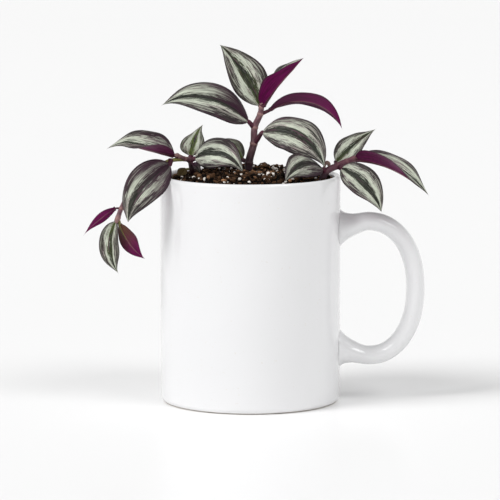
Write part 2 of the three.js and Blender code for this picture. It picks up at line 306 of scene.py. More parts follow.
def calc(operation, *values):
    """A math node's result for these values. One of them at least is a socket."""
    tree = next(v.id_data for v in values if isinstance(v, bpy.types.NodeSocket))
    return put(tree, "ShaderNodeMath", dict(enumerate(values)), operation=operation).outputs[0]


def times(value, *factors):
    """The product of values."""
    for factor in factors:
        value = calc("MULTIPLY", value, factor)
    return value


def less(value, amount):
    """What is left of 1 without an amount of a value."""
    return calc("MULTIPLY_ADD", value, -amount, 1.0)


def ruffled(value, rough, amount):
    """A value moved up or down by an amount of a noise that goes from 0 to 1."""
    return calc("MULTIPLY_ADD", calc("SUBTRACT", rough, 0.5), amount, value)


def step(value, low, high, to_low=0.0, to_high=1.0):
    """A smooth step of a value between two limits."""
    inputs = {"Value": value, "From Min": low, "From Max": high, "To Min": to_low, "To Max": to_high}
    node = put(value.id_data, "ShaderNodeMapRange", inputs, interpolation_type="SMOOTHSTEP")
    return node.outputs[0]


def mix(share, first, second):
    """A mix of two colours, each a socket or a colour of three numbers."""
    first, second = (
        value if isinstance(value, bpy.types.NodeSocket) else (*value, 1) for value in (first, second))
    inputs = {"Factor": share, 6: first, 7: second}
    return put(share.id_data, "ShaderNodeMix", inputs, data_type="RGBA").outputs[2]


def stain(colour, tone, share, amount):
    """A colour stained with a tone, by an amount of a share."""
    return mix(times(share, amount), colour, tone)


def scaled(colour, amount):
    """A darker or brighter form of a colour."""
    return tuple(amount * channel for channel in colour)


def fractal(place, scale, detail=2.0, roughness=0.5):
    inputs = {"Vector": place, "Scale": scale, "Detail": detail, "Roughness": roughness}
    return put(place.id_data, "ShaderNodeTexNoise", inputs).outputs["Fac"]


def join_xyz(x, y, z):
    return put(x.id_data, "ShaderNodeCombineXYZ", {0: x, 1: y, 2: z}).outputs[0]


def split_xyz(vector):
    return put(vector.id_data, "ShaderNodeSeparateXYZ", {0: vector}).outputs


def object_place(tree):
    return put(tree, "ShaderNodeTexCoord").outputs["Object"]


def surface_place(tree):
    """Along and across a leaf, or round and along a stem."""
    return split_xyz(put(tree, "ShaderNodeUVMap", uv_map=UV_NAME).outputs[0])


def layer(tree, name):
    """A value that the mesh's vertices have."""
    return put(tree, "ShaderNodeAttribute", attribute_name=name).outputs["Fac"]


def new_material(name, **sockets):
    """A material with a Principled shader, its node tree and that shader."""
    material = bpy.data.materials.new(name)
    material.use_nodes = True
    shader = material.node_tree.nodes["Principled BSDF"]
    for socket, value in sockets.items():
        shader.inputs[socket.replace("_", " ")].default_value = value
    return material, material.node_tree, shader


def dress(shader, colour, height, strength, distance):
    """Gives a shader its colour, and a bump from a height."""
    tree = shader.id_data
    inputs = {"Height": height, "Strength": strength, "Distance": distance}
    tree.links.new(colour, shader.inputs["Base Color"])
    tree.links.new(put(tree, "ShaderNodeBump", inputs).outputs[0], shader.inputs["Normal"])


def new_group(name, inputs, outputs):
    """A node group with these float sockets, and the sockets of its two ends."""
    group = bpy.data.node_groups.new(name, "ShaderNodeTree")
    for way, labels in (("INPUT", inputs), ("OUTPUT", outputs)):
        for label in labels:
            group.interface.new_socket(name=label, in_out=way, socket_type="NodeSocketFloat")
    return group, put(group, "NodeGroupInput").outputs, put(group, "NodeGroupOutput").inputs


# ---- Materials ----

def veins_group():
    """Parallel veins from a leaf's base to its tip: long streaks, short dashes, patches, flecks and
    a height."""
    if "leaf_veins" in bpy.data.node_groups:
        return bpy.data.node_groups["leaf_veins"]
    group, given, out = new_group(
        "leaf_veins", ("Along", "Across", "Offset"), ("Streak", "Dash", "Patch", "Fleck", "Height"))

    def stretched(along, across, detail, low, high):
        place = join_xyz(
            times(given["Along"], along), times(given["Across"], across), given["Offset"])
        return step(fractal(place, 1, detail=detail, roughness=0.6), low, high)

    made = {
        "Streak": stretched(5, 15, 3, 0.32, 0.68),
        "Dash": stretched(17, 34, 2, 0.35, 0.68),
        "Patch": stretched(3.5, 2.6, 2, 0.3, 0.7),
        "Fleck": stretched(4.5, 9, 2, 0.58, 0.68),
    }
    ribs = calc("SINE", times(given["Across"], 62))
    streaks = calc("MULTIPLY_ADD", made["Dash"], 0.4, made["Streak"])
    made["Height"] = calc("MULTIPLY_ADD", ribs, 0.3, streaks)
    for label, value in made.items():
        group.links.new(value, out[label])
    return group


def leaf_values(tree):
    """Along the leaf, signed across it, the distance from the midrib, its own values, its veins."""
    parts = surface_place(tree)
    across = calc("MULTIPLY_ADD", parts[1], 2.0, -1.0)
    own = {name: layer(tree, name) for name in ("offset", *COLOUR_KEYS)}
    inputs = {"Along": parts[0], "Across": across, "Offset": own["offset"]}
    veins = put(tree, "ShaderNodeGroup", inputs, node_tree=veins_group()).outputs
    return parts[0], across, calc("ABSOLUTE", across), own, veins


def tint_share(along, across, streak, own):
    """Where the purple tint lies: near the base, on both halves of a leaf or mostly on one."""
    reach = calc("SUBTRACT", 1.0, calc("ABSOLUTE", own["tint_side"]))
    reach = calc("SUBTRACT", reach, times(across, own["tint_side"]))
    near_base = step(calc("MULTIPLY_ADD", streak, 0.12, along), 0.72, 0.3)
    return times(near_base, own["tint"], step(reach, -0.06, 0.1))


def silver_share(veins, off):
    """Where a leaf is silver: a ragged band on each half, slivers beyond it, glints at the midrib."""
    streak, dash, patch = veins["Streak"], veins["Dash"], veins["Patch"]
    ragged = ruffled(ruffled(off, streak, 0.2), dash, 0.16)
    inner = step(ruffled(ragged, patch, -0.12), 0.2, 0.29)
    outer = step(ruffled(ragged, patch, 0.34), 0.47, 0.6)
    band = times(
        inner, calc("SUBTRACT", 1.0, outer), step(dash, 0.7, 1.0, 1.0, 0.6), less(veins["Fleck"], 0.6))
    slivers = times(step(streak, 0.5, 0.85), step(off, 0.98, 0.8), times(outer, 0.5))
    glints = times(step(dash, 0.3, 0.0), step(off, 0.3, 0.1, 0.0, 0.12))
    return calc("MAXIMUM", calc("MAXIMUM", band, slivers), glints)


def silver_colour(plant, veins):
    pale = mix(step(veins["Patch"], 0.4, 1.0, 0.0, 0.6), plant.silver, plant.blush)
    dull = step(veins["Streak"], 0.8, 0.1, 0.0, 0.35)
    return mix(dull, pale, scaled(plant.silver, 0.45))


def ground_colour(plant, veins, off, young):
    """The dark colours round the silver: a leaf's centre, its outer bands and the flecks."""
    centre = mix(young, plant.centre, plant.green)
    centre = mix(step(veins["Streak"], 0.2, 0.8), centre, scaled(plant.centre, 0.35))
    rim = mix(veins["Patch"], plant.outer, plant.centre)
    rim = stain(rim, scaled(plant.green, 0.5), young, 0.5)
    rim = mix(step(veins["Dash"], 0.4, 0.8), rim, scaled(plant.outer, 0.35))
    ground = mix(step(off, 0.3, 0.5), centre, rim)
    return stain(ground, plant.fleck, veins["Fleck"], 0.8)


def upper_material(plant):
    """The striped upper face of a leaf."""
    material, tree, shader = new_material(
        "leaf_upper", Roughness=0.44, Specular_IOR_Level=0.24, Coat_Weight=0.04, Coat_Roughness=0.3)
    along, across, off, own, veins = leaf_values(tree)
    tinted = tint_share(along, across, veins["Streak"], own)
    silver = times(silver_share(veins, off), own["silvering"], less(tinted, 0.8))
    young = times(own["youth"], own["youth"])
    ground = ground_colour(plant, veins, off, young)
    colour = mix(silver, ground, silver_colour(plant, veins))
    colour = mix(times(tinted, less(silver, 0.8)), colour, plant.deep)
    fresh = times(step(along, 0.42, 0.05), calc("POWER", own["youth"], 0.5), step(off, 0.65, 0.1))
    colour = stain(colour, plant.green, fresh, 0.75)
    colour = mix(own["olive"], colour, plant.olive)
    midrib = step(off, 0.05, 0.015)
    colour = stain(colour, scaled(plant.centre, 0.3), midrib, 0.7)
    margin = step(off, 0.91, 0.98)
    colour = stain(colour, scaled(plant.outer, 0.4), margin, 0.85)
    dress(shader, colour, veins["Height"], 0.5, 0.00018)
    return material


def under_material(plant):
    """The magenta underside of a leaf."""
    material, tree, shader = new_material("leaf_under", Roughness=0.5, Specular_IOR_Level=0.14)
    along, across, off, own, veins = leaf_values(tree)
    colour = mix(veins["Streak"], scaled(plant.under, 1.25), scaled(plant.under, 0.6))
    colour = mix(step(veins["Patch"], 0.4, 1.0, 0.0, 0.3), colour, plant.deep)
    ribs = calc("MULTIPLY_ADD", calc("SINE", times(across, 30)), 0.5, 0.5)
    dull = times(step(along, 0.9, 0.1), own["tint"])
    ridge = step(off, 0.09, 0.02)
    worn = times(step(along, 0.7, 0.15), own["olive"])
    margin = step(off, 0.75, 0.99)
    for tone, share, amount in (
            (plant.deep, ribs, 0.22), (plant.outer, dull, 0.8), (plant.node, ridge, 0.45),
            (scaled(plant.olive, 1.5), worn, 0.8), (plant.outer, margin, 0.55)):
        colour = stain(colour, tone, share, amount)
    dress(shader, colour, veins["Height"], 0.4, 0.00015)
    return material


def stem_material(name, ground, plant):
    """The skin of a stem, streaked along its length, dark near the soil and paler at its nodes."""
    material, tree, shader = new_material(name, Roughness=0.45, Specular_IOR_Level=0.35)
    parts = surface_place(tree)
    stretched = join_xyz(times(parts[0], 16), parts[1], 0.0)
    streak = step(fractal(stretched, 0.9, detail=4, roughness=0.6), 0.35, 0.65)
    blotch = fractal(object_place(tree), 300, detail=3)
    colour = mix(streak, ground, scaled(ground, 0.4))
    colour = mix(step(blotch, 0.45, 0.65, 0, 0.5), colour, plant.sheath)
    for key, tone, amount in (
            ("near_node", plant.node, 0.75), ("rosy", plant.sheath, 0.7),
            ("fresh", plant.shoot, 0.85), ("low", scaled(plant.deep, 0.5), 0.85)):
        colour = stain(colour, tone, layer(tree, key), amount)
    dress(shader, colour, streak, 0.4, 0.0002)
    return material


def glaze_material(mug):
    """White glaze, a little uneven, with the bare clay of the foot below it."""
    material, tree, shader = new_material(
        "white_glaze", Roughness=0.16, Specular_IOR_Level=0.5, Coat_Weight=0.35, Coat_Roughness=0.06)
    place = object_place(tree)
    drift = fractal(place, 22, detail=2)
    speck = fractal(place, 900, detail=1)
    foot = step(split_xyz(place)[2], 0.0006, 0.0002)
    colour = mix(step(drift, 0.3, 0.7, 0, 0.35), mug.glaze, scaled(mug.glaze, 0.97))
    colour = mix(step(speck, 0.7, 0.78, 0, 0.25), colour, mug.clay)
    colour = mix(foot, colour, mug.clay)
    rough = calc("MULTIPLY_ADD", foot, 0.6, calc("MULTIPLY_ADD", drift, 0.08, 0.1))
    tree.links.new(rough, shader.inputs["Roughness"])
    dress(shader, colour, drift, 0.25, 0.0006)
    return material


def grain_group():
    """A fine-grained surface for loose grains: a shade from dark to light, and a height."""
    if "loose_grain" in bpy.data.node_groups:
        return bpy.data.node_groups["loose_grain"]
    group, given, out = new_group("loose_grain", ("Scale",), ("Shade", "Height"))
    rough = fractal(object_place(group), given["Scale"], detail=4, roughness=0.65)
    group.links.new(ruffled(layer(group, "shade"), rough, 0.8), out["Shade"])
    group.links.new(rough, out["Height"])
    return group


def grain_material(name, dark, light, scale, roughness, depth):
    """Loose grains, each with a shade of its own between two colours."""
    material, tree, shader = new_material(name, Roughness=roughness, Specular_IOR_Level=0.1)
    grain = put(tree, "ShaderNodeGroup", {"Scale": scale}, node_tree=grain_group()).outputs
    colour = mix(step(grain["Shade"], 0.05, 0.95), dark, light)
    dress(shader, colour, grain["Height"], 0.8, depth)
    return material


def floor_material(studio):
    material, _, shader = new_material("studio_floor", Roughness=0.25, Specular_IOR_Level=0.5)
    shader.inputs["Base Color"].default_value = (*studio.floor, 1)
    return material


# ---- Mesh helpers ----

def new_mesh(name, bm):
    mesh = bpy.data.meshes.new(name)
    bm.to_mesh(mesh)
    bm.free()
    return mesh


def new_object(name, data):
    """An object in the scene."""
    added = bpy.data.objects.new(name, data)
    bpy.context.scene.collection.objects.link(added)
    return added


def finish_piece(name, bm, materials, replaces=()):
    """Makes an object in metres from a mesh in millimetres. It rides on the root body."""
    bmesh.ops.scale(bm, vec=(MM, MM, MM), verts=bm.verts)
    mesh = new_mesh(name, bm)
    mesh.shade_smooth()
    for material in materials:
        mesh.materials.append(material)
    piece = new_object(name, mesh)
    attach(piece, "root")
    if replaces:
        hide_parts(*replaces)


def arc(centre, radius, start, end, steps):
    """Points of an arc in a plane, between two angles in degrees."""
    angles = [math.radians(start + (end - start) * i / steps) for i in range(steps + 1)]
    return [(centre[0] + radius * math.cos(a), centre[1] + radius * math.sin(a)) for a in angles]


def spline_point(points, place):
    """A point of a centripetal Catmull-Rom curve, at a place counted in its points."""
    index = min(int(place), len(points) - 2)
    share = place - index
    p1, p2 = points[index], points[index + 1]
    p0 = points[index - 1] if index else 2 * p1 - p2
    p3 = points[index + 2] if index + 2 < len(points) else 2 * p2 - p1
    d0, d1, d2 = ((b - a).length ** 0.5 for a, b in ((p0, p1), (p1, p2), (p2, p3)))
    m1 = ((p1 - p0) / d0 - (p2 - p0) / (d0 + d1) + (p2 - p1) / d1) * d1
    m2 = ((p2 - p1) / d1 - (p3 - p1) / (d1 + d2) + (p3 - p2) / d2) * d1
    a = 2 * p1 - 2 * p2 + m1 + m2
    b = 3 * p2 - 3 * p1 - 2 * m1 - m2
    return ((a * share + b) * share + m1) * share + p1


def spline_tangent(points, place):
    """The direction of such a curve."""
    last = len(points) - 1
    before, after = max(place - 1e-3, 0), min(place + 1e-3, last)
    return (spline_point(points, after) - spline_point(points, before)).normalized()


def stops(points, steps):
    """Even stops along a curve, each counted in its points."""
    return [(len(points) - 1) * i / steps for i in range(steps + 1)]


def between(values, place):
    """A value between those of a list, at a place counted in them."""
    index = min(int(place), len(values) - 2)
    return values[index] + (values[index + 1] - values[index]) * (place - index)


def section(centre, wide, thick, half_width, half_thickness):
    """A matrix that takes a unit circle to an ellipse with these axes, square to them."""
    ahead = wide.cross(thick)
    return Matrix((
        (*(wide * half_width), 0), (*(thick * half_thickness), 0), (*ahead, 0), (*centre, 1),
    )).transposed()


def extend_ring(bm, edges):
    """Extrudes a ring of edges on the spot, and returns its new vertices and edges."""
    grown = bmesh.ops.extrude_edge_only(bm, edges=edges)["geom"]
    ring = [g for g in grown if isinstance(g, bmesh.types.BMVert)]
    return ring, [g for g in grown if isinstance(g, bmesh.types.BMEdge)]


def sweep(bm, sections, sides):
    """Extrudes a ring through sections, closes both ends, and returns the rings of vertices."""
    ring = bmesh.ops.create_circle(bm, segments=sides, radius=1, matrix=sections[0])["verts"]
    edges = list({e for v in ring for e in v.link_edges})
    rings = [ring]
    for before, after in zip(sections, sections[1:]):
        ring, edges = extend_ring(bm, edges)
        bmesh.ops.transform(bm, matrix=after @ before.inverted(), verts=ring)
        rings.append(ring)
    for end in (rings[0], rings[-1]):
        around = {e for v in end for e in v.link_edges if e.is_boundary}
        bmesh.ops.edgeloop_fill(bm, edges=list(around))
    faces = list({f for r in rings for v in r for f in v.link_faces})
    bmesh.ops.recalc_face_normals(bm, faces=faces)
    return rings


def wrap_uv(uv, rings, pitch):
    """Lays a swept surface out: there and back round it, and a pitch from each ring to the next."""
    for index, ring in enumerate(rings):
        for column, v in enumerate(ring):
            for loop in v.link_loops:
                loop[uv].uv = (abs(column / len(ring) - 0.5) * 2, index * pitch)


def sweep_frames(tangents):
    """Wide and thick axes that turn as little as they can from each tangent to the next."""
    frames = []
    wide = Vector((0, 1, 0))
    for tangent in tangents:
        wide = (wide - tangent * wide.dot(tangent)).normalized()
        frames.append((wide, tangent.cross(wide)))
    return frames


# ---- Mug ----

class TRADESCANTIA_OT_mug(bpy.types.Operator):
    """Models the cup and its handle in white glaze"""

    bl_idname = "tradescantia.mug"
    bl_label = "Mug"

    def execute(self, context):
        mug = context.scene.tradescantia_mug
        glaze = glaze_material(mug)
        self.cup(mug, glaze)
        self.handle(mug, glaze)
        return {"FINISHED"}

    def cup(self, mug, glaze):
        """A turned cup with a round lip, and a shallow ring for its foot."""
        lip = mug.wall / 2
        bore = CUP_RADIUS - mug.wall
        heel = 2.5
        foot_radius, foot_depth, foot_edge = 30.5, 0.6, 0.7
        outline = [(0, foot_depth), (foot_radius, foot_depth)]
        outline += arc((foot_radius + 1.5, foot_edge), foot_edge, 200, 270, 4)
        outline += arc((CUP_RADIUS - heel, heel), heel, -90, 0, 8)
        outline += arc((CUP_RADIUS - lip, CUP_HEIGHT - lip), lip, 0, 180, 14)
        outline += arc((bore - INNER_CORNER, CUP_FLOOR + INNER_CORNER), INNER_CORNER, 0, -90, 10)
        outline += [(0, CUP_FLOOR)]
        bm = bmesh.new()
        verts = [bm.verts.new((r, 0, z)) for r, z in outline]
        edges = [bm.edges.new(pair) for pair in zip(verts, verts[1:])]
        bmesh.ops.spin(
            bm, geom=verts + edges, cent=(0, 0, 0), axis=(0, 0, 1), angle=2 * math.pi,
            steps=mug.facets, use_merge=True)
        bmesh.ops.remove_doubles(bm, verts=bm.verts, dist=1e-4)
        bmesh.ops.recalc_face_normals(bm, faces=bm.faces)
        finish_piece("mug_cup", bm, [glaze], replaces=["mug"])

    def handle(self, mug, glaze):
        """A strap whose ends widen into the wall and stop inside it."""
        root = 38.6
        flare_length, flare_power = 13, 2.1
        line = [Vector((x, 0, z)) for x, z in HANDLE_LINE]
        kept = [stop for stop in stops(line, 110) if spline_point(line, stop).x >= root]
        places = [spline_point(line, stop) for stop in kept]
        lengths = [0.0]
        for a, b in zip(places, places[1:]):
            lengths.append(lengths[-1] + (b - a).length)
        sections = []
        across = Vector((0, 1, 0))
        for stop, place, length in zip(kept, places, lengths):
            to_end = min(length, lengths[-1] - length)
            flare = max(0, 1 - to_end / flare_length) ** flare_power
            fillet = math.exp(-(to_end / 2) ** 2)
            half_width = mug.handle_width / 2 * (1 + 0.5 * flare)
            half_thickness = mug.handle_thickness / 2 * (1 + 0.95 * flare + 0.3 * fillet)
            tangent = spline_tangent(line, stop)
            level = Vector((math.copysign(1, tangent.x), 0, 0))
            thick = tangent.lerp(level, flare).normalized().cross(across)
            sections.append(section(place, across, thick, half_width, half_thickness))
        bm = bmesh.new()
        sweep(bm, sections, 48)
        finish_piece("mug_handle", bm, [glaze], replaces=["mug"])


# ---- Soil ----

GRAINS_AT_ONCE = 80

# Grains that catch the eye, as (x, y, radius)
PERLITE = [
    (4.9, 26, 0.8), (12, 17, 0.7), (13.4, 17.5, 0.6), (-20, 21, 0.7), (-14, 4, 0.9), (-11.4, -27, 0.6),
    (-27, -12, 0.9), (8, -16, 1.2), (9.9, -16.5, 1.1), (4.4, -32, 0.8), (30.3, -5, 0.7),
]
CHIPS = [(-2.2, -17, 1.5), (1.9, -15, 1.6)]
LUMPS = [(6.2, 31, 2.4)]


def soil_height(radius, angle):
    """The mound's height at a place, with its broad unevenness."""
    share = min(radius / SOIL_RADIUS, 1)
    mound = SOIL_CROWN - (SOIL_CROWN - SOIL_EDGE) * share ** SOIL_FLATNESS
    place = Vector((radius * math.cos(angle), radius * math.sin(angle), 0))
    return mound + 1.1 * noise.noise(place / 9) + 0.5 * noise.noise(place / 3.5)


class TRADESCANTIA_OT_soil(bpy.types.Operator):
    """Models the heaped soil with its crumbs, bark and perlite"""

    bl_idname = "tradescantia.soil"
    bl_label = "Soil"

    def execute(self, context):
        soil = context.scene.tradescantia_soil
        draw = random.Random(soil.seed)
        noise.seed_set(soil.seed)  # its offsets come from the clock otherwise
        # The bed runs from half the darkest soil up to the darkest soil: painted shade in the gaps between
        # the grains, laid over the soil's own dark colour.
        self.bed(grain_material("soil_bed", scaled(soil.dark, 0.5), soil.dark, 700, 0.95, 0.0006))
        crumb = grain_material("soil_crumb", soil.dark, soil.light, 1500, 0.85, 0.0003)
        bark = grain_material("bark_chip", scaled(soil.light, 0.6), soil.bark, 900, 0.8, 0.0004)
        white = grain_material(
            "perlite_grain", scaled(soil.white, 0.6), soil.white, 1800, 0.75, 0.0003)
        self.grains("soil_crumbs", crumb, draw, soil.crumbs, size=(0.25, 0.75), shades=(0, 0.8))
        self.grains(
            "soil_lumps", crumb, draw, soil.lumps, size=(0.7, 1.6), shades=(0, 0.7), lift=0.4,
            marked=LUMPS)
        self.grains(
            "bark_chips", bark, draw, soil.chips, size=(0.6, 1.5), shades=(0, 0.9), lift=0.55,
            flatness=(0.35, 0.7), marked=CHIPS)
        self.grains(
            "perlite_grains", white, draw, soil.perlite, size=(0.3, 1), shades=(0.4, 1), lift=0.5,
            detail=2, marked=PERLITE)
        return {"FINISHED"}

    def bed(self, material):
        """A closed plug of soil that follows the cup's inside, with an uneven top."""
        top_rings = 44
        sunk = 0.4
        corner = (BORE - INNER_CORNER, CUP_FLOOR + INNER_CORNER)
        outline = arc(corner, INNER_CORNER - SOIL_GAP, -90, 0, 6) + [(SOIL_RADIUS, SOIL_EDGE)]
        bm = bmesh.new()
        bmesh.ops.create_circle(
            bm, segments=128, radius=outline[0][0], cap_ends=True,
            matrix=Matrix.Translation((0, 0, outline[0][1])))
        edges = list(bm.edges)
        for (radius, low), (wider, high) in zip(outline, outline[1:]):
            ring, edges = extend_ring(bm, edges)
            bmesh.ops.scale(bm, vec=(wider / radius, wider / radius, 1), verts=ring)
            bmesh.ops.translate(bm, vec=(0, 0, high - low), verts=ring)
        top = list(ring)
        for index in range(top_rings, 0, -1):
            share = (index - 1) / index if index > 1 else 0.02
            ring, edges = extend_ring(bm, edges)
            bmesh.ops.scale(bm, vec=(share, share, 1), verts=ring)
            top += ring
        bmesh.ops.edgeloop_fill(bm, edges=edges)
        for v in top:
            v.co.z = soil_height(math.hypot(v.co.x, v.co.y), math.atan2(v.co.y, v.co.x)) - sunk
            v.co.z += 0.35 * noise.noise(v.co * 0.9)
        bmesh.ops.recalc_face_normals(bm, faces=bm.faces)
        shade = bm.verts.layers.float.new("shade")
        for v in bm.verts:
            v[shade] = 0.15 + 0.3 * noise.noise(v.co * 0.7)
        finish_piece("soil_bed", bm, [material], replaces=["soil"])

    def grains(self, name, material, draw, count, size, shades, flatness=(0.6, 1), lift=0.0, detail=1,
               marked=()):
        """Irregular grains all over the mound, clear of the stems, made in batches that stay small."""
        spots = [*marked, *self.scattered(draw, count, size)]
        whole = bmesh.new()
        for start in range(0, len(spots), GRAINS_AT_ONCE):
            bm = bmesh.new()
            shade = bm.verts.layers.float.new("shade")
            for x, y, grain in spots[start:start + GRAINS_AT_ONCE]:
                height = soil_height(math.hypot(x, y), math.atan2(y, x)) + lift * grain
                turn = Matrix.Rotation(draw.uniform(0, 6.3), 4, "Z") @ Matrix.Rotation(
                    draw.uniform(-0.6, 0.6), 4, "X")
                stretch = Matrix.Diagonal(
                    (grain, grain * draw.uniform(0.6, 1), grain * draw.uniform(*flatness), 1))
                own = draw.uniform(*shades)
                place = Matrix.Translation((x, y, height + draw.uniform(-0.25, 0)))
                made = bmesh.ops.create_icosphere(
                    bm, subdivisions=detail, radius=1, matrix=place @ turn @ stretch)
                for v in made["verts"]:
                    v.co += 0.42 * grain * noise.noise_vector(v.co * (1.7 / grain))
                    v[shade] = own
            batch = new_mesh("batch", bm)
            whole.from_mesh(batch)
            bpy.data.meshes.remove(batch)
        finish_piece(name, whole, [material])

    def scattered(self, draw, count, size):
        """Random places on the mound with a grain's radius each, mostly small ones."""
        feet = [Vector(points[1][:2]) for stem, (points, _) in STEMS.items() if stem != HANGING_STEM]
        spots = []
        for _ in range(count):
            grain = draw.random() ** 1.7 * (size[1] - size[0]) + size[0]
            radius = min(SOIL_RADIUS * math.sqrt(draw.random()), SOIL_RADIUS - grain)
            angle = draw.uniform(0, 2 * math.pi)
            place = Vector((radius * math.cos(angle), radius * math.sin(angle)))
            if all((place - foot).length > grain + 1.6 for foot in feet):
                spots.append((place.x, place.y, grain))
        return spots


# ---- Stems ----

# The height where each stem starts to darken towards the soil, and how far below that it is dark
DARK_BELOW = {"upright_stem": (115, 7), "left_stem": (108, 3), "right_stem": (105, 3)}


def stem_points(name):
    return [Vector(p) for p in STEMS[name][0]]


def stem_radius(name, place):
    foot, top = STEMS[name][1]
    return foot + (top - foot) * place / (len(STEMS[name][0]) - 1)


def node_mark(points, place):
    """How near a place on a stem is to a node above its foot, from 0 to 1."""
    node = round(place)
    before, after = points[max(node - 1, 0)], points[min(node + 1, len(points) - 1)]
    distance = abs(place - node) * (after - before).length / 2
    return math.exp(-(distance / 0.6) ** 2) if node > 0 else 0


def clamped(value):
    return max(0, min(1, value))


class TRADESCANTIA_OT_stems(bpy.types.Operator):
    """Models the stems with their swollen nodes and the bud, and makes the skin that the sheaths at the
    nodes wear
    """

    bl_idname = "tradescantia.stems"
    bl_label = "Stems"

    def execute(self, context):
        plant = context.scene.tradescantia_plant
        skin = stem_material("stem_skin", plant.stem, plant)
        sheath = stem_material("sheath_skin", plant.sheath, plant)
        for name in STEMS:
            self.stem(name, [skin, sheath])
        self.bud(skin)
        return {"FINISHED"}

    def stem(self, name, materials):
        sides, steps_each, swelling, tip_length = 20, 26, 0.14, 2.4
        points = stem_points(name)
        last = len(points) - 1
        places = stops(points, steps_each * last)
        frames = sweep_frames([spline_tangent(points, p) for p in places])
        sections, marks = [], []
        for place, (wide, thick) in zip(places, frames):
            mark = node_mark(points, place)
            radius = stem_radius(name, place) * (1 + swelling * mark)
            sections.append(section(spline_point(points, place), wide, thick, radius, radius))
            marks.append(mark)
        tip = points[-1] + spline_tangent(points, last) * tip_length
        for share in (0.35, 0.7, 0.9):
            radius = stem_radius(name, last) * math.sqrt(1 - share ** 2)
            sections.append(section(points[-1].lerp(tip, share), wide, thick, radius, radius))
            marks.append(0.6)
        bm = bmesh.new()
        near, low, rosy, fresh = (
            bm.verts.layers.float.new(key) for key in ("near_node", "low", "rosy", "fresh"))
        rings = sweep(bm, sections, sides)
        hanging = name == HANGING_STEM
        dark_below, fade = DARK_BELOW.get(name, (0, 1))
        for ring, mark in zip(rings, marks):
            for v in ring:
                v[near] = mark
                v[low] = clamped((dark_below - v.co.z) / fade)
                v[rosy] = 1 if name == "right_stem" else 0
                v[fresh] = clamped((v.co.x + 45) / 8) if hanging else 0
        wrap_uv(bm.loops.layers.uv.new(UV_NAME), rings, 0.12)
        finish_piece(name + "_skin", bm, materials, replaces=[name])

    def bud(self, material):
        """A tiny bud that curls over on the right stem, on a stalk of its own."""
        low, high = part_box("right_bud")
        centre = (low + high) / 2 / MM
        route = [centre + Vector(p) for p in (
            (-1, 0, -2.6), (-1, 0, -1), (-0.8, 0, 0.3), (0.1, 0.1, 0.9), (0.9, 0.2, 0.2), (0.6, 0.2, -0.6))]
        radii = (0.5, 0.55, 0.75, 0.95, 0.9, 0.35)
        places = stops(route, 30)
        sections = []
        for place, (wide, thick) in zip(places, sweep_frames([spline_tangent(route, p) for p in places])):
            radius = between(radii, place)
            sections.append(section(spline_point(route, place), wide, thick, radius, radius))
        bm = bmesh.new()
        sweep(bm, sections, 14)
        bm.loops.layers.uv.new(UV_NAME)
        fresh = bm.verts.layers.float.new("fresh")
        for v in bm.verts:
            v[fresh] = 0.2
        finish_piece("right_bud_skin", bm, [material], replaces=["right_bud"])


# ---- Leaves ----

def leaf_frame(heading, pitch, roll):
    """The way a leaf points, its upper face, and its right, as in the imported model."""
    h, p, r = (math.radians(a) for a in (heading, pitch, roll))
    ahead = Vector((math.cos(p) * math.cos(h), math.cos(p) * math.sin(h), math.sin(p)))
    level = Vector((-math.sin(p) * math.cos(h), -math.sin(p) * math.sin(h), math.cos(p)))
    right = ahead.cross(level)
    up = level * math.cos(r) + right * math.sin(r)
    return ahead, up, right * math.cos(r) - level * math.sin(r)


def leaf_outline(leaf, share):
    """A leaf's half width at a share of its length, from 0 to 1."""
    if share < leaf.widest:
        return (1 - (1 - share / leaf.widest) ** 2) ** BASE_POWER
    beyond = min((share - leaf.widest) / (1 - leaf.widest), 1)
    return (1 - beyond * beyond) ** leaf.taper


def leaf_foot(leaf, ahead):
    """Where a leaf's stalk leaves its stem."""
    points = stem_points(leaf.stem)
    along = spline_tangent(points, leaf.node)
    lean = ahead.dot(along)
    outward = (ahead - along * lean).normalized()
    base = points[leaf.node]
    if leaf.node == len(points) - 1:
        clear = GAP + STALK_WIDTH / 2 * math.sqrt(1 - lean ** 2)
        return base + outward * END_SPREAD + along * clear
    clear = stem_radius(leaf.stem, leaf.node) + GAP + STALK_THICKNESS / 2 * abs(lean)
    return base + outward * clear


def leaf_line(leaf):
    """The foot of the stalk, and the midrib's places at the stations and at the tip."""
    stalk_length, stalk_rise = leaf.stalk
    ahead = leaf_frame(leaf.heading, stalk_rise, leaf.roll)[0]
    foot = leaf_foot(leaf, ahead)
    place = foot + ahead * stalk_length
    share = 0.0
    line = []
    for station in range(STATIONS + 1):
        following = (1 - math.cos(math.pi * station / STATIONS)) / 2
        place = place + leaf.frame_at(share)[0] * ((following - share) * leaf.length)
        share = following
        line.append(place)
    return foot, line


def leaf_point(leaf, line, along, across, side=0, thickness=0.0, ripple=(0, 0, 0)):
    """A point between the midrib (across 0) and the margins, on the upper (side 1) or lower (-1) face."""
    share = (1 - math.cos(math.pi * along)) / 2
    _, up, right = leaf.frame_at(share)
    off = abs(across)
    half = max(STALK_WIDTH / 2 * (1 - share) ** 3, leaf.width / 2 * leaf_outline(leaf, share))
    if share < 1:
        half = max(half, BLUNT_TIP)
    slope = math.radians(leaf.fold + leaf.unfold * share - leaf.curl * off / 2)
    out = math.copysign(half * off * math.cos(slope), across)
    rise = half * off * math.sin(slope)
    wave, phase, lift = ripple
    swell = min(1, half / (0.3 * leaf.width))
    rise += lift * swell * math.sin(math.pi * off) - lift * swell * math.exp(-(off / 0.1) ** 2)
    rise += lift * off ** 3 * swell * math.sin(2 * math.pi * wave * share + phase + across)
    lens = thickness / 2 * (1 - off ** 4) * min(1, 5 * share) * min(1, 4 * (1 - share))
    bent = max(0, (share - 0.7) / 0.3) ** 2
    flicked = right * (leaf.flick[0] * bent) + up * (leaf.flick[1] * bent)
    return spline_point(line, STATIONS * along) + flicked + right * out + up * (rise + side * lens)


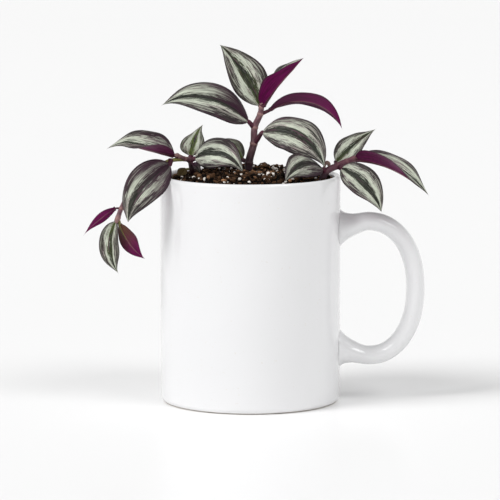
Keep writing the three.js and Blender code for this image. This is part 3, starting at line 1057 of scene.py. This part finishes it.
class TRADESCANTIA_OT_leaves(bpy.types.Operator):
    """Models every leaf with its striped upper face, purple underside and stalk"""

    bl_idname = "tradescantia.leaves"
    bl_label = "Leaves"

    def execute(self, context):
        plant = context.scene.tradescantia_plant
        materials = [upper_material(plant), under_material(plant), bpy.data.materials["sheath_skin"]]
        for number, (name, leaf) in enumerate(LEAVES.items()):
            self.leaf(name, leaf, number, plant, materials)
        return {"FINISHED"}

    def leaf(self, name, leaf, number, plant, materials):
        bm = bmesh.new()
        own = {key: bm.verts.layers.float.new(key) for key in ("offset", "fresh", *COLOUR_KEYS)}
        uv = bm.loops.layers.uv.new(UV_NAME)
        foot, line = leaf_line(leaf)
        draw = random.Random(100 + number)
        ripple = (draw.uniform(1.6, 2.8), draw.uniform(0, 6.3), 0.025 * leaf.width)
        for side in (1, -1):
            made = bmesh.ops.create_grid(bm, x_segments=plant.rows, y_segments=plant.columns, size=0.5)
            faces = {f for v in made["verts"] for f in v.link_faces}
            for face in faces:
                face.material_index = 0 if side > 0 else 1
                for loop in face.loops:
                    loop[uv].uv = (loop.vert.co.x + 0.5, loop.vert.co.y + 0.5)
            if side < 0:
                bmesh.ops.reverse_faces(bm, faces=list(faces))
            for v in made["verts"]:
                v.co = leaf_point(leaf, line, v.co.x + 0.5, v.co.y * -2, side, plant.thickness, ripple)
        bmesh.ops.remove_doubles(bm, verts=bm.verts, dist=1e-4)
        self.stalk(bm, leaf, foot, line)
        for v in bm.verts:
            v[own["offset"]] = number * 3.7
            v[own["fresh"]] = leaf.olive
            for key in COLOUR_KEYS:
                v[own[key]] = getattr(leaf, key)
        finish_piece(name + "_blade", bm, materials, replaces=[name])

    def stalk(self, bm, leaf, foot, line):
        """A sheath that leaves the stem at its node and runs on as a keel under the midrib."""
        inside = 0.6
        keel_ends = 6
        root = stem_points(leaf.stem)[leaf.node] - (line[0] - foot).normalized() * inside
        route = [root, root.lerp(line[0], 0.5), line[0]]
        route += [spline_point(line, station) for station in range(2, keel_ends + 1, 2)]
        widths = (1.3, 1.2, 1.15, 0.6, 0.36, 0.12)
        depths = (1.3, 1.1, 0.75, 0.5, 0.36, 0.12)
        scale = min(1, leaf.width / 12)
        sections = []
        for place in stops(route, 36):
            reach = max(0, place - 2) / (len(route) - 3)
            share = (1 - math.cos(math.pi * keel_ends * reach / STATIONS)) / 2
            _, up, right = leaf.frame_at(share)
            tangent = spline_tangent(route, place)
            wide = (right - tangent * right.dot(tangent)).normalized()
            thick = wide.cross(tangent)
            half_width, half_thickness = scale * between(widths, place), scale * between(depths, place)
            centre = spline_point(route, place) - up * ((half_thickness + 0.2) * min(1, reach * 6))
            sections.append(section(centre, wide, thick, half_width, half_thickness))
        rings = sweep(bm, sections, 14)
        for face in {f for ring in rings for v in ring for f in v.link_faces}:
            face.material_index = 2
        wrap_uv(bm.loops.layers.uv[UV_NAME], rings, 0.15)


# ---- Studio ----

KEY_PLACE = (-0.87, -0.5, 1.1)
FILL_PLACE = (0.68, -0.57, 1.1)

# The camera fitted to the photograph: its place in metres and its tilt below level in degrees
CAMERA_PLACE = (-0.00016, -1.492, 0.2695)
CAMERA_LENS = 243.7
CAMERA_SENSOR = 36
CAMERA_TILT = 7.72


class TRADESCANTIA_OT_studio(bpy.types.Operator):
    """Sets up the pale floor, the soft lights and the camera"""

    bl_idname = "tradescantia.studio"
    bl_label = "Studio"

    def execute(self, context):
        scene = context.scene
        studio = scene.tradescantia_studio
        self.floor(studio)
        self.sky(scene, studio)
        self.lamp("key", KEY_PLACE, studio.key, studio.softness)
        self.lamp("fill", FILL_PLACE, studio.fill, studio.softness)
        self.camera(scene)
        scene.view_settings.view_transform = "Standard"
        return {"FINISHED"}

    def floor(self, studio):
        bm = bmesh.new()
        bmesh.ops.create_grid(bm, x_segments=2, y_segments=2, size=8)
        mesh = new_mesh("floor", bm)
        mesh.materials.append(floor_material(studio))
        floor = new_object("floor", mesh)

    def sky(self, scene, studio):
        """Even light, strongest from the sides."""
        world = bpy.data.worlds.new("studio")
        world.use_nodes = True
        tree = world.node_tree
        height = split_xyz(put(tree, "ShaderNodeTexCoord").outputs["Generated"])[2]
        strength = step(height, 0.12, 0.45, studio.horizon, studio.overhead)
        background = tree.nodes["Background"].inputs
        tree.links.new(strength, background["Strength"])
        background["Color"].default_value = (1, 1, 1, 1)
        scene.world = world

    def lamp(self, name, place, strength, softness):
        """A lamp as far off as to light the whole floor evenly, and as wide as a softbox."""
        light = bpy.data.lights.new(name, "SUN")
        light.angle = math.radians(softness)
        light.energy = strength
        lamp = new_object(name, light)
        lamp.location = place
        lamp.rotation_euler = (-lamp.location).to_track_quat("-Z", "Y").to_euler()

    def camera(self, scene):
        """A long lens that stands back from the mug and looks down a little."""
        data = bpy.data.cameras.new("camera")
        data.sensor_width = CAMERA_SENSOR
        data.lens = CAMERA_LENS
        data.clip_end = 50
        camera = new_object("camera", data)
        camera.location = CAMERA_PLACE
        camera.rotation_euler = (math.radians(90 - CAMERA_TILT), 0, 0)
        scene.camera = camera


# ---- Panel and registration ----

OPERATORS = (
    TRADESCANTIA_OT_mug,
    TRADESCANTIA_OT_soil,
    TRADESCANTIA_OT_stems,
    TRADESCANTIA_OT_leaves,
    TRADESCANTIA_OT_studio,
)
SETTINGS = {
    "tradescantia_mug": MugSettings,
    "tradescantia_soil": SoilSettings,
    "tradescantia_plant": PlantSettings,
    "tradescantia_studio": StudioSettings,
}


class TRADESCANTIA_PT_panel(bpy.types.Panel):
    """Lists the steps that model the potted plant"""

    bl_label = "Potted tradescantia"
    bl_idname = "TRADESCANTIA_PT_panel"
    bl_space_type = "VIEW_3D"
    bl_region_type = "UI"
    bl_category = PANEL_TAB

    def draw(self, context):
        for operator in OPERATORS:
            self.layout.operator(operator.bl_idname)
        for name in SETTINGS:
            settings = getattr(context.scene, name)
            box = self.layout.box()
            for key in settings.bl_rna.properties.keys():
                if key not in ("rna_type", "name"):
                    box.prop(settings, key)


def register():
    for name, settings in SETTINGS.items():
        bpy.utils.register_class(settings)
        setattr(bpy.types.Scene, name, PointerProperty(type=settings))
    for entry in (*OPERATORS, TRADESCANTIA_PT_panel):
        bpy.utils.register_class(entry)


def unregister():
    for entry in (TRADESCANTIA_PT_panel, *reversed(OPERATORS)):
        bpy.utils.unregister_class(entry)
    for name, settings in reversed(SETTINGS.items()):
        delattr(bpy.types.Scene, name)
        bpy.utils.unregister_class(settings)


def main():
    register()
    for operator in ("mug", "soil", "stems", "leaves", "studio"):
        getattr(bpy.ops.tradescantia, operator)()


if __name__ == "__main__":
    main()
